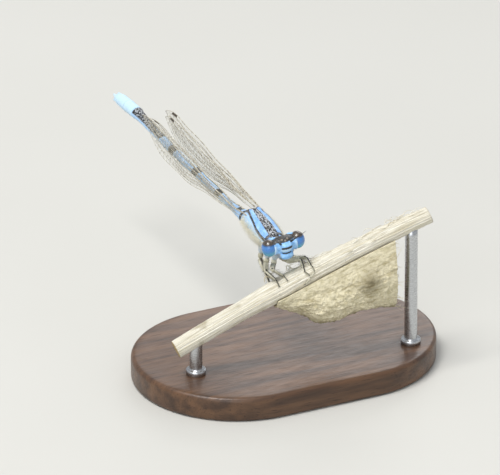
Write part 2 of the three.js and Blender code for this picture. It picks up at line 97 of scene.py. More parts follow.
def curve(table, x):
    """A smooth line through the rows of a table of [place, value]."""
    table = np.array(table, float)
    p, q = table[:, 0], table[:, 1]
    slope = np.gradient(q, p)
    i = np.clip(np.searchsorted(p, x) - 1, 0, len(p) - 2)
    step = p[i + 1] - p[i]
    t = np.clip((x - p[i]) / step, 0, 1)
    a = (1 + 2 * t) * (1 - t) ** 2 * q[i] + t * (1 - t) ** 2 * step * slope[i]
    return a + t * t * (3 - 2 * t) * q[i + 1] + t * t * (t - 1) * step * slope[i + 1]


def lumpy(points, size, octaves=3, seed=0.0):
    """Soft noise at points, with lumps about as large as size."""
    shift = Vector((seed * 17.3, seed * 5.1, seed * 11.7))
    flat = np.asarray(points, float).reshape(-1, 3) / size
    values = [noise.fractal(Vector(p) + shift, 0.6, 2.1, octaves) for p in flat]
    return np.array(values).reshape(np.shape(points)[:-1])


def grid_faces(rows, columns):
    """Quads over rows of points that each close into a ring of columns points."""
    j, i = np.meshgrid(np.arange(rows - 1), np.arange(columns), indexing="ij")
    k = (i + 1) % columns
    here, there = j * columns, (j + 1) * columns
    return np.stack([here + i, here + k, there + k, there + i], axis=-1).reshape(-1, 4)


class Shape:
    """Points and faces that grow by whole pieces, with values kept for each point."""

    def __init__(self):
        self.points, self.faces, self.values, self.count = [], [], {}, 0

    def tube(self, rings, **values):
        """A closed tube through rings of points, one row each, with a middle point at each end."""
        rings = np.asarray(rings, float)
        rows, columns = rings.shape[:2]
        ends = np.array([rings[0].mean(0), rings[-1].mean(0)])
        faces = grid_faces(rows, columns).tolist()
        first, last = rows * columns, rows * columns + 1
        for i in range(columns):
            k = (i + 1) % columns
            faces.append([first, k, i])
            faces.append([last, (rows - 1) * columns + i, (rows - 1) * columns + k])
        for name, value in values.items():
            value = np.broadcast_to(np.asarray(value, float), (rows, columns))
            value = np.concatenate([value.reshape(-1), [value[0].mean(), value[-1].mean()]])
            self.values.setdefault(name, []).append(value)
        self.faces += [[v + self.count for v in face] for face in faces]
        self.points.append(np.concatenate([rings.reshape(-1, 3), ends]))
        self.count += len(self.points[-1])
        return self

    def piece(self, name, place, material, slot, replaces=(), roots=None):
        """Makes the Blender object. roots holds each point's place on the unwrapped skin, for coats."""
        points = np.concatenate(self.points)
        turn = np.array(place)
        points = (points @ turn[:3, :3].T + turn[:3, 3]) * MM
        mesh = bpy.data.meshes.new(name)
        mesh.from_pydata(points.tolist(), [], self.faces)
        mesh.materials.append(material)
        mesh.polygons.foreach_set("use_smooth", [True] * len(mesh.polygons))
        for key, value in self.values.items():
            layer = mesh.attributes.new(key, "FLOAT", "POINT")
            layer.data.foreach_set("value", np.concatenate(value).astype(np.float32))
        if roots is not None:
            corner = np.zeros(len(mesh.loops), np.int32)
            mesh.loops.foreach_get("vertex_index", corner)
            layer = mesh.uv_layers.new(name="OFBake")
            layer.data.foreach_set("uv", roots[corner].astype(np.float32).ravel())
        mesh.validate()
        obj = bpy.data.objects.new(name, mesh)
        bpy.context.scene.collection.objects.link(obj)
        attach(obj, "root")
        if replaces:
            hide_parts(*replaces)


def frames(path):
    """Two cross directions at each point of a path, turned as little as possible along it."""
    path = np.asarray(path, float)
    way = unit(np.gradient(path, axis=0))
    side = np.cross(way[0], [0.31, 0.17, 0.93])
    sides = []
    for w in way:
        side = side - w * (side @ w)
        side = side / np.linalg.norm(side)
        sides.append(side)
    sides = np.array(sides)
    return sides, np.cross(way, sides)


def spokes(a, b, sides):
    """Ways out from a line in equal steps round it. a and b point across it."""
    angle = circle(sides)
    return a[:, None] * np.cos(angle)[None, :, None] + b[:, None] * np.sin(angle)[None, :, None]


def rings_on(path, radii, sides):
    radii = np.broadcast_to(radii, (len(path),))[:, None, None]
    return np.asarray(path)[:, None] + spokes(*frames(path), sides) * radii


HAIR_TAPER = 0.85  # share of its thickness that a hair loses towards its tip
HAIR_PATCH = 0.0015  # size on the skin's unwrap of the ring that one hair's points take


def hairs(shape, roots, ways, bends, lengths, radius, spots, rows=3, sides=3):
    """Many thin tapered hairs. spots holds each root's place on the skin's unwrap."""
    count = len(roots)
    a = unit(np.cross(ways, [0.37, 0.61, 0.7]))
    b = unit(np.cross(ways, a))
    ring = spokes(a, b, sides)
    rings = []
    for k in range(rows):
        t = k / rows
        middle = roots + (ways * t + bends * t * t) * lengths[:, None]
        thick = np.broadcast_to(radius, (count,))[:, None, None] * (1 - HAIR_TAPER * t)
        rings.append(middle[:, None] + ring * thick)
    tip = roots + (ways + bends) * lengths[:, None]
    points = np.concatenate([np.stack(rings, 1).reshape(count, -1, 3), tip[:, None]], axis=1)
    last = (rows - 1) * sides
    triangles = [[last + i, last + (i + 1) % sides, rows * sides] for i in range(sides)]
    triangles.append([2, 1, 0])
    each = rows * sides + 1
    shift = (np.arange(count) * each)[:, None, None] + shape.count
    shape.points.append(points.reshape(-1, 3))
    shape.faces += (grid_faces(rows, sides)[None] + shift).reshape(-1, 4).tolist()
    shape.faces += (np.array(triangles)[None] + shift).reshape(-1, 3).tolist()
    shape.count += count * each
    turn = circle(each)
    patch = HAIR_PATCH * np.stack([np.cos(turn), np.sin(turn)], -1)
    return (spots[:, None] + patch[None]).reshape(-1, 2)


# Small tools for materials


def colour(display):
    """A display colour of three numbers from 0 to 255, as the linear colour that Blender's nodes take."""
    values = [v / 255 for v in display]
    return tuple(v / 12.92 if v <= 0.04045 else ((v + 0.055) / 1.055) ** 2.4 for v in values) + (1.0,)


class Look:
    """A node material that is built from a few named steps."""

    def __init__(self, name, specular=0.5, **sockets):
        self.material = bpy.data.materials.new(name)
        self.material.use_nodes = True
        self.tree = self.material.node_tree
        self.shader = self.tree.nodes["Principled BSDF"]
        for key, value in {"Specular IOR Level": specular, **sockets}.items():
            self.shader.inputs[key.replace("_", " ")].default_value = value
        self.place = self.node("ShaderNodeTexCoord").outputs["Object"]

    def node(self, kind):
        return self.tree.nodes.new(kind)

    def link(self, source, socket):
        if hasattr(source, "is_output"):
            self.tree.links.new(source, socket)
        else:
            socket.default_value = source

    def value(self, name):
        node = self.node("ShaderNodeAttribute")
        node.attribute_name = name
        return node.outputs["Fac"]

    def maths(self, operation, a, b=0.0, c=0.0):
        node = self.node("ShaderNodeMath")
        node.operation = operation
        for socket, source in zip(node.inputs, (a, b, c)):
            self.link(source, socket)
        return node.outputs[0]

    def stretched(self, x, y, z):
        node = self.node("ShaderNodeMapping")
        self.link(self.place, node.inputs["Vector"])
        node.inputs["Scale"].default_value = (x, y, z)
        return node.outputs[0]

    def noise(self, per_mm, detail, where=None, rough=0.55):
        node = self.node("ShaderNodeTexNoise")
        self.link(where or self.place, node.inputs["Vector"])
        node.inputs["Scale"].default_value = per_mm / MM if where is None else per_mm
        node.inputs["Detail"].default_value = detail
        node.inputs["Roughness"].default_value = rough
        return node.outputs["Fac"]

    def fibres(self, across, finely, coarsely, detail):
        """Noise drawn out along the stem: finely spaced across its fibres and coarsely along them."""
        node = self.node("ShaderNodeCombineXYZ")
        for socket, name, scale in zip(node.inputs, (across, "along"), (finely, coarsely)):
            self.link(self.maths("MULTIPLY", self.value(name), scale), socket)
        return self.noise(1, detail, node.outputs[0])

    def cells(self, per_mm):
        node = self.node("ShaderNodeTexVoronoi")
        self.link(self.place, node.inputs["Vector"])
        node.inputs["Scale"].default_value = per_mm / MM
        return node.outputs["Distance"]

    def step(self, source, low, high, from_value=0.0, to_value=1.0):
        node = self.node("ShaderNodeMapRange")
        node.interpolation_type = "SMOOTHSTEP"
        for socket, value in zip(node.inputs, (source, low, high, from_value, to_value)):
            self.link(value, socket)
        return node.outputs[0]

    def wavering(self, source, least, most):
        """A value that wavers with a noise between two limits."""
        return self.step(source, 0.3, 0.7, least, most)

    def frayed(self, name, source, width):
        """A value of the mesh with a noise added, so that an edge drawn from it is ragged."""
        return self.maths("ADD", self.value(name), self.maths("MULTIPLY_ADD", source, width, -width / 2))

    def mix(self, share, first, second):
        """Goes from the first colour to the second. Three numbers from 0 to 255 are a display colour."""
        node = self.node("ShaderNodeMix")
        node.data_type = "RGBA"
        for index, source in ((0, share), (6, first), (7, second)):
            self.link(colour(source) if isinstance(source, tuple) else source, node.inputs[index])
        return node.outputs[2]

    def tones(self, source, low, high, first, second, most=1.0):
        """Goes from the first colour towards the second, by up to most, as source rises from low to high."""
        return self.mix(self.step(source, low, high, 0.0, most), first, second)

    def bump(self, height, distance_mm, strength=1.0, under=None):
        node = self.node("ShaderNodeBump")
        node.inputs["Strength"].default_value = strength
        node.inputs["Distance"].default_value = distance_mm * MM
        self.link(height, node.inputs["Height"])
        if under is not None:
            self.link(under, node.inputs["Normal"])
        return node.outputs[0]

    def into(self, base, rough, normal=None, alpha=1.0):
        """Puts the results into the shader and gives the material."""
        self.link(base, self.shader.inputs["Base Color"])
        self.link(rough, self.shader.inputs["Roughness"])
        self.link(alpha, self.shader.inputs["Alpha"])
        if normal is not None:
            self.link(normal, self.shader.inputs["Normal"])
        return self.material


# Materials


def cuticle_look():
    """Body cuticle. Its values say how far inside a black mark, how pale and how hairy a point is."""
    look = Look("cuticle", specular=0.45)
    fine = look.noise(14, 4)
    black = look.step(look.frayed("dark", fine, 0.09), -0.03, 0.045)
    blue = look.tones(look.noise(2.2, 3), 0.35, 0.7, (118, 168, 234), (160, 202, 246))
    blue = look.mix(look.value("pale"), blue, (200, 228, 244))
    speck = look.step(look.noise(6.5, 3), 0.47, 0.58)
    dusted = look.maths("MULTIPLY", speck, look.value("dust"))
    ink = look.mix(dusted, (22, 22, 26), (180, 184, 190))
    grey = look.tones(fine, 0.4, 0.65, (188, 190, 180), (214, 216, 208))
    base = look.mix(look.value("hoar"), look.mix(black, blue, ink), grey)
    normal = look.bump(fine, 0.02, 0.6, look.bump(look.cells(22), 0.012, 0.5))
    return look.into(base, look.wavering(fine, 0.38, 0.55), normal)


def face_look():
    look = Look("face_cuticle")
    fine = look.noise(16, 4)
    black = look.step(look.frayed("dark", fine, 0.08), -0.02, 0.03)
    blue = look.tones(look.noise(4, 3), 0.35, 0.7, (122, 178, 234), (160, 206, 246))
    # The pale value holds real pale marks, and it also holds a painted highlight on the ridge across the
    # face.
    blue = look.mix(look.value("pale"), blue, (214, 234, 240))
    ink = look.tones(look.noise(26, 2), 0.5, 0.66, (26, 24, 24), (150, 150, 148), 0.6)
    # This value greys the ocelli, and it also paints shade on the cheeks beside the labrum.
    base = look.mix(look.value("bead"), look.mix(black, blue, ink), (150, 140, 125))
    normal = look.bump(fine, 0.018, 0.6, look.bump(look.cells(26), 0.01, 0.5))
    return look.into(base, look.wavering(fine, 0.3, 0.48), normal)


def eye_look():
    """A compound eye: a brown cap over blue and teal, under a clear glossy coat with fine facets."""
    look = Look("compound_eye", Coat_Weight=0.8, Coat_Roughness=0.06)
    high = look.frayed("high", look.noise(3, 3), 0.12)
    lower = look.tones(high, -0.6, 0.1, (86, 168, 196), (62, 122, 190))
    upper = look.tones(high, 0.4, 0.62, lower, (46, 84, 130))
    cap = look.tones(look.noise(9, 3), 0.4, 0.62, (44, 34, 28), (84, 72, 58))
    base = look.tones(high, 0.54, 0.7, upper, cap)
    base = look.mix(look.value("rim"), base, (150, 205, 232))
    facets = look.bump(look.cells(34), 0.012, 0.5)
    rough = look.wavering(look.noise(8, 2), 0.24, 0.34)
    return look.into(base, rough, facets)


def film_look():
    """Clear wing film, with a dark spot near the tip. It is thin and mostly lets light through."""
    look = Look("wing_film", IOR=1.4, specular=0.7)
    fine = look.noise(5, 3)
    base = look.tones(fine, 0.35, 0.7, (176, 176, 160), (206, 206, 194))
    base = look.mix(look.value("stigma"), base, (62, 52, 46))
    clear = look.maths("MAXIMUM", look.wavering(fine, 0.04, 0.08), look.value("stigma"))
    rough = look.wavering(look.noise(11, 2), 0.16, 0.3)
    return look.into(base, rough, look.bump(fine, 0.04, 0.7), clear)


def vein_look():
    look = Look("wing_vein", specular=0.7)
    base = look.tones(look.noise(6, 3), 0.35, 0.65, (134, 124, 104), (212, 206, 188))
    rough = look.wavering(look.noise(20, 2), 0.2, 0.4)
    return look.into(base, rough, look.bump(look.noise(40, 2), 0.006))


def leg_look():
    look = Look("leg_cuticle")
    fine = look.noise(18, 4)
    edge = look.frayed("dark", fine, 0.5)
    tan = look.tones(look.noise(3, 2), 0.35, 0.65, (172, 168, 146), (208, 204, 184))
    base = look.tones(edge, -0.12, 0.16, tan, (34, 31, 30))
    rough = look.wavering(fine, 0.35, 0.55)
    return look.into(base, rough, look.bump(fine, 0.012, 0.7))


def ink_look():
    look = Look("black_cuticle")
    fine = look.noise(20, 4)
    base = look.tones(fine, 0.35, 0.7, (22, 20, 20), (58, 52, 48))
    rough = look.wavering(fine, 0.35, 0.55)
    return look.into(base, rough, look.bump(fine, 0.008, 0.6))


def hair_look():
    look = Look("cream_hair", specular=0.3)
    base = look.tones(look.noise(4, 3), 0.3, 0.7, (222, 216, 190), (248, 244, 230))
    return look.into(base, look.wavering(look.noise(12, 2), 0.5, 0.7))


def straw_look():
    """Dry straw. The values around and along lie on the stem, so that its fibres run the length of it."""
    look = Look("dry_straw", specular=0.3)
    fibre = look.fibres("around", 9, 0.22, 4)
    thread = look.fibres("around", 34, 0.5, 3)
    base = look.tones(fibre, 0.3, 0.7, (204, 196, 172), (240, 237, 226))
    base = look.tones(thread, 0.5, 0.66, base, (168, 154, 118), 0.75)
    base = look.tones(look.noise(0.5, 4), 0.56, 0.74, base, (142, 128, 92), 0.55)
    flecks = look.step(look.noise(7, 3), 0.66, 0.72)
    base = look.mix(look.maths("MULTIPLY", flecks, look.value("worn")), base, (104, 92, 66))
    base = look.mix(look.value("cut"), base, (176, 152, 104))
    normal = look.bump(thread, 0.05, 0.7, look.bump(fibre, 0.09, 0.7))
    return look.into(base, look.wavering(fibre, 0.5, 0.75), normal)


def husk_look():
    """Dry crumpled leaf sheath: papery, ribbed along the stem and stained, with painted shade towards its
    lower edge and in its hollow.
    """
    look = Look("dry_husk", specular=0.2)
    fibre = look.fibres("down", 42, 0.5, 4)
    crumple = look.noise(2.4, 5, rough=0.65)
    # This noise makes real stains, and it also frays the edge of the painted shade below.
    stain_and_shade = look.noise(0.55, 4)
    base = look.tones(crumple, 0.3, 0.6, (196, 186, 152), (224, 215, 186))
    base = look.tones(fibre, 0.48, 0.7, base, (150, 136, 98), 0.6)
    base = look.tones(stain_and_shade, 0.55, 0.75, base, (128, 114, 76), 0.4)
    # Painted shade: darker brown towards the lower curled edge of the sheath, where it turns under.
    base = look.tones(look.frayed("down", stain_and_shade, 0.4), 0.56, 0.82, base, (98, 88, 50), 0.8)
    # Painted shade: the hollow of the sheath is coloured dark brown.
    base = look.mix(look.value("hollow"), base, (92, 80, 46))
    normal = look.bump(fibre, 0.06, 0.8, look.bump(crumple, 0.22, 0.9))
    return look.into(base, look.wavering(crumple, 0.65, 0.9), normal)


def walnut_look():
    look = Look("dark_wood", Coat_Weight=0.25, Coat_Roughness=0.3, specular=0.4)
    rings = look.noise(1, 5, look.stretched(90, 900, 900))
    pores = look.noise(1, 3, look.stretched(700, 9000, 9000))
    base = look.tones(rings, 0.3, 0.7, (62, 42, 29), (104, 74, 50))
    base = look.tones(pores, 0.58, 0.7, base, (38, 25, 17), 0.7)
    rough = look.wavering(pores, 0.35, 0.55)
    return look.into(base, rough, look.bump(pores, 0.03, 0.5))


def steel_look():
    look = Look("brushed_steel", Metallic=1.0)
    brush = look.noise(1, 3, look.stretched(3000, 3000, 60000))
    base = look.tones(brush, 0.3, 0.7, (176, 178, 182), (214, 216, 218))
    rough = look.wavering(brush, 0.22, 0.36)
    return look.into(base, rough, look.bump(brush, 0.005, 0.5))


def floor_look():
    look = Look("pale_floor", specular=0.2)
    base = look.mix(look.noise(0.02, 2), (196, 195, 189), (204, 203, 198))
    return look.into(base, look.wavering(look.noise(0.05, 2), 0.7, 0.8))


# Body: one skin from the neck to the tip of the abdomen

# Place along the body, height of its middle, half width, reach up and reach down
STATIONS = [
    [-0.8, -0.72, 0.3, 0.3, 0.32],
    [-0.66, -0.76, 0.5, 0.46, 0.52],
    [-0.52, -0.79, 0.79, 0.68, 0.8],
    [-0.36, -0.82, 0.87, 0.74, 0.95],
    [-0.2, -0.86, 0.77, 0.68, 0.92],
    [-0.1, -0.9, 0.68, 0.64, 0.86],
    [0.03, -0.86, 0.66, 0.66, 0.88],
    [0.3, -0.76, 0.86, 0.71, 1.14],
    [0.8, -0.63, 0.98, 0.78, 1.32],
    [1.6, -0.53, 1.06, 0.94, 1.42],
    [2.6, -0.41, 1.08, 1.06, 1.42],
    [3.5, -0.34, 1.06, 1.13, 1.34],
    [4.2, -0.34, 0.96, 1.16, 1.22],
    [4.8, -0.46, 0.81, 0.96, 1.02],
    [5.3, -0.69, 0.65, 0.68, 0.75],
    [5.65, -0.8, 0.5, 0.5, 0.52],
]
# The abdomen is round: place along the body, height of its middle and radius
ABDOMEN = [
    [5.9, -0.79, 0.54],
    [6.6, -0.79, 0.5],
    [7.4, -0.8, 0.42],
    [8.6, -0.81, 0.375],
    [11.4, -0.8, 0.362],
    [15.8, -0.62, 0.37],
    [20.1, -0.44, 0.39],
    [24.0, -0.14, 0.405],
    [26.3, 0.04, 0.44],
    [27.3, 0.1, 0.53],
    [28.6, 0.08, 0.555],
    [30.2, 0.03, 0.53],
    [30.9, 0.01, 0.46],
    [31.1, 0.0, 0.4],
]
STATIONS += [[place, middle, radius, radius, radius] for place, middle, radius in ABDOMEN]
NECK, TAIL_END = STATIONS[0][0], STATIONS[-1][0]
WAIST = 6.0  # the skin's rows are closer together up to here
CAP_LENGTH, CAP_RADIUS = 0.12, 0.125  # the rounded end behind the last station
# Where the segments of the abdomen meet
JOINTS = [5.72, 6.4, 7.3, 11.45, 15.85, 20.15, 24.05, 27.3, 28.95, 30.4]
# Dark lines of the chest, as [place along the body, degrees from the top] or [place, half width in degrees]
HUMERAL_LINE = [[0.4, 66], [0.93, 66], [1.35, 62.5], [2.0, 56.5]]
HUMERAL_LINE += [[2.56, 47.5], [3.14, 41], [3.84, 34], [4.38, 28.5]]
HUMERAL_HALF = [[0.3, 10], [1.0, 9.5], [1.6, 7.8], [2.4, 6.2], [3.4, 5.6], [4.3, 7]]
DORSAL_HALF = [[0.33, 27.5], [0.73, 25.5], [1.6, 22.5], [2.6, 19], [3.5, 14.5], [4.4, 10]]
SIDE_LINE = [[0.6, 108], [1.6, 101], [3.2, 90], [5.0, 76]]
BODY_ROUND = 160
WEDGE = 0.55  # share of its width that the chest has lost at its lowest point


def body_point(y, degrees, extra=0.0):
    """A point of the body's skin. degrees run from the top, and the animal's left side is positive."""
    y, degrees = np.broadcast_arrays(np.asarray(y, float), np.asarray(degrees, float))
    middle, half, above, below = [curve([[row[0], row[k]] for row in STATIONS], y) for k in (1, 2, 3, 4)]
    turn = np.radians(degrees)
    across, upward = np.sin(turn), np.cos(turn)
    square = 2 + 0.3 * (1 - smooth(5.0, 6.0, y))
    reach = (np.abs(across) ** square + np.abs(upward) ** square) ** (-1 / square)
    tall = above * smooth(-0.2, 0.2, upward) + below * (1 - smooth(-0.2, 0.2, upward))
    grow = extra + body_relief(y, degrees)
    narrow = 1 - WEDGE * np.maximum(0, -upward * reach) * smooth(-0.1, 0.3, y) * (1 - smooth(5.0, 5.8, y))
    x = across * reach * (half + grow) * narrow
    z = middle + upward * reach * (tall + grow)
    return np.stack([x, y, z], -1)


def body_relief(y, degrees):
    """Keel, sutures, wing bases and the rims of the segments, in millimetres outwards."""
    side = np.abs(degrees)
    chest = smooth(0.15, 0.5, y) * (1 - smooth(4.1, 4.5, y))
    relief = chest * 0.045 * bell(side, 0, 3.5)
    relief = relief - chest * 0.05 * bell(side, curve(HUMERAL_LINE, y), 3.0)
    suture = smooth(0.5, 1.0, y) * (1 - smooth(4.9, 5.4, y)) * 0.05
    relief = relief - suture * bell(side, curve(SIDE_LINE, y), 2.6)
    relief = relief - 0.08 * bell(y, 4.42, 0.12) * (1 - smooth(28, 45, side))
    relief = relief + 0.14 * bell(y, 4.25, 0.2) * bell(side, 24, 9)
    relief = relief + 0.12 * bell(y, 4.95, 0.2) * bell(side, 28, 11)
    relief = relief + 0.1 * bell(y, 3.95, 0.16) * bell(side, 30, 10)
    for joint in JOINTS:
        relief = relief + 0.03 * bell(y, joint - 0.08, 0.06) - 0.045 * bell(y, joint + 0.02, 0.03)
    return relief


def body_marks(y, degrees):
    """How far each point lies inside a black mark, in millimetres, and how pale, dusted and hoary it is."""
    side = np.abs(degrees)
    arc = 1.3 * math.pi / 180
    chest = (y > 0) & (y < 5.7)
    marks = [
        (curve(DORSAL_HALF, y) - side) * arc,
        (curve(HUMERAL_HALF, y) - np.abs(side - curve(HUMERAL_LINE, y))) * arc,
        np.minimum(0.14 - np.abs(y - 0.42), (60 - side) * arc),
        np.minimum(0.42 - np.abs(y - 4.5), (40 - side) * arc),
        (2.2 - np.abs(side - curve(SIDE_LINE, y))) * arc,
        0.12 - np.abs(y - 5.62),
    ]
    dark = np.where(chest, np.max(marks, axis=0), -1.0)
    dark = np.where(y <= 0, np.maximum((58 - side) * arc, 0.08 - np.abs(y + 0.1)), dark)
    ring = 0.45 * np.cos(np.radians(side * 0.8))
    belly = (128 - side) * 0.38 * math.pi / 180
    tail = [
        np.minimum(0.16 - np.abs(y - 5.98), belly),
        np.minimum(0.34 - np.abs(y - 6.82), (38 - side) * 0.008),
    ]
    for start, end in ((10.62, 11.5), (14.96, 15.84), (19.5, 20.4)):
        tail.append(np.minimum(np.minimum(y - start + ring * 0.4, end - y), belly))
    tail.append(np.minimum(np.minimum(y - 22.6 + ring * 1.4, 27.32 - y), (72 - side) * 0.0075))
    tail.append(0.03 - np.abs(y - 28.97))
    dark = np.where(y > 5.7, np.max(tail, axis=0), dark)
    pale = 0.85 * smooth(27.2, 27.5, y) + (0.4 + 0.3 * smooth(60, 120, side)) * (y > 5.7) * (y < 27.3)
    pale = np.where(chest, 0.55 * smooth(0, 12, side - curve(HUMERAL_LINE, y)), pale)
    dust = np.where(chest, 0.95 * bell(side, 0, 26) + 0.15, 0.2 + 0.6 * smooth(21.5, 22.5, y))
    hoar = 0.7 * smooth(100, 132, side) * (y > -0.1) * (1 - smooth(5.2, 6.2, y))
    hoar = hoar + 0.5 * smooth(95, 130, side) * smooth(5.2, 6.2, y)
    return dark, pale, dust, hoar


def body_piece():
    chest_rows = np.arange(NECK, WAIST, 0.035)
    tail_rows = np.arange(WAIST, TAIL_END, 0.045)
    cap_rows = TAIL_END + CAP_LENGTH * np.sin(np.linspace(0.2, 1.5, 6))
    rows = np.concatenate([chest_rows, tail_rows, cap_rows])
    degrees = np.linspace(-180, 180, BODY_ROUND, endpoint=False)
    y, turn = np.meshgrid(rows, degrees, indexing="ij")
    points = body_point(np.minimum(y, TAIL_END), turn)
    close = rounded(np.maximum(y - TAIL_END, 0) / CAP_RADIUS, 2, 1)
    points = points * np.stack([close, np.ones_like(close), close], -1)
    points[..., 1] = y
    points += 0.008 * lumpy(points, 0.5)[..., None] * np.array([1, 0, 1])
    dark, pale, dust, hoar = body_marks(y, turn)
    marks = {"dark": dark, "pale": pale, "dust": dust, "hoar": hoar}
    shape = Shape().tube(points[:, ::-1], **{key: value[:, ::-1] for key, value in marks.items()})
    # Claspers at the tip of the abdomen
    for side in (1, -1):
        for upper in (1, -1):
            root = np.array([side * 0.2, 31.0, 0.16 * upper])
            tip = np.array([side * (0.33 - 0.06 * upper), 31.56 - 0.1 * (upper < 0), 0.23 * upper])
            share = np.linspace(0, 1, 12)[:, None]
            path = root + (tip - root) * share - np.array([side * 0.05, 0, 0]) * share**2
            radii = 0.15 * rounded(share[:, 0], 2.2, 1.02)
            shape.tube(rings_on(path, radii, 14), dark=-0.3, pale=0.9, dust=0.2, hoar=0.3)
    # Hips
    for leg in LEGS.values():
        for side in (1, -1):
            end = np.array([side * leg["hip"][0], leg["hip"][1], leg["hip"][2]])
            start = end + np.array([-side * 0.16, 0, 0.75])
            share = np.linspace(0, 1, 12)[:, None]
            radii = 0.33 * rounded(share[:, 0], 6, 1.01) * (1 - 0.18 * share[:, 0])
            path = start + (end - start) * share
            shape.tube(rings_on(path, radii, 18), dark=0.05 * share - 0.1, pale=0.2, dust=0.2, hoar=0.75)
    nodes = ("prothorax", "thorax", "abdomen_base", "abdomen_middle", "abdomen_rear", "abdomen_tip")
    shape.piece("body_skin", BODY, cuticle_look(), "body_blue", nodes)


def chest_hair():
    """Cream hairs that stand off the sides of the chest, and a few on its back."""
    count = 6500
    y = rng.uniform(0.1, 5.3, count)
    side = np.where(rng.random(count) < 0.5, 1, -1)
    on_side = rng.random(count) < 0.94
    degrees = side * np.where(on_side, rng.uniform(58, 165, count), rng.uniform(0, 60, count))
    roots = body_point(y, degrees, -0.01)
    out = unit(body_point(y, degrees, 0.3) - roots)
    sway = rng.normal(0, 0.22, (count, 3))
    ways = unit(out + sway + np.array([0, 0.15, -0.1]))
    bends = np.array([0, 0.22, -0.12]) + rng.normal(0, 0.1, (count, 3))
    long = 0.14 + 0.36 * smooth(60, 95, np.abs(degrees))
    lengths = long * rng.uniform(0.55, 1.15, count) * (0.6 + 0.4 * np.sin(np.pi * np.clip(y / 5.4, 0, 1)))
    spots = np.stack([(degrees + 180) / 360 * 0.98 + 0.01, (y - NECK) / 33], -1)
    shape = Shape()
    uv = hairs(shape, roots, ways, bends, lengths, 0.0085, spots)
    shape.piece("chest_hair", BODY, hair_look(), "body_blue", roots=uv)


# Head: a smooth union of lumps, read along rays from its middle

HEAD_MIDDLE = np.array([0, -0.02, -0.08])
HEAD_BACK, DARK_BACK = 0.42, 0.37  # it ends flat at the first and is black behind the second
EYE_PLACE = np.array([1.34, 0, 0.02])
EYE_RADII = np.array([0.64, 0.7, 0.76])
# Place and radii of each lump. One with a place off the middle is mirrored.
HEAD_LUMPS = [
    ((0, 0.05, 0.06), (1.3, 0.6, 0.68)),
    ((0, -0.12, 0.38), (0.86, 0.48, 0.34)),
    ((0, -0.3, 0.02), (0.84, 0.52, 0.46)),
    ((0, -0.56, 0.1), (0.62, 0.36, 0.22)),
    ((0, -0.6, -0.14), (0.56, 0.38, 0.16)),
    ((0, -0.55, -0.34), (0.5, 0.36, 0.15)),
    ((0, -0.54, -0.8), (0.62, 0.42, 0.38)),
    ((0, -0.1, -0.6), (0.7, 0.46, 0.42)),
    ((0, 0.05, -0.92), (0.5, 0.38, 0.26)),
    ((0.56, -0.24, -0.5), (0.28, 0.32, 0.4)),
    ((0.5, -0.16, -0.86), (0.2, 0.28, 0.28)),
    ((0.8, 0.26, 0.48), (0.42, 0.22, 0.26)),
    ((0.46, -0.5, 0.3), (0.15, 0.15, 0.13)),
    ((0.98, -0.28, -0.05), (0.2, 0.42, 0.62)),
]
OCELLI = [(0, -0.52, 0.54), (0.25, -0.4, 0.64), (-0.25, -0.4, 0.64)]
OCELLUS_RADIUS = 0.07


def head_field(points):
    """Less than nothing inside the head."""
    lumps = []
    for place, radii in HEAD_LUMPS:
        for side in (1, -1) if place[0] else (1,):
            q = (points - np.array(place) * [side, 1, 1]) / np.array(radii)
            lumps.append((np.linalg.norm(q, axis=-1) - 1) * min(radii))
    lumps = np.stack(lumps)
    sharp = 46.0
    low = lumps.min(0)
    soft = low - np.log(np.exp(-sharp * (lumps - low)).sum(0)) / sharp
    return np.maximum(soft, points[..., 1] - HEAD_BACK)


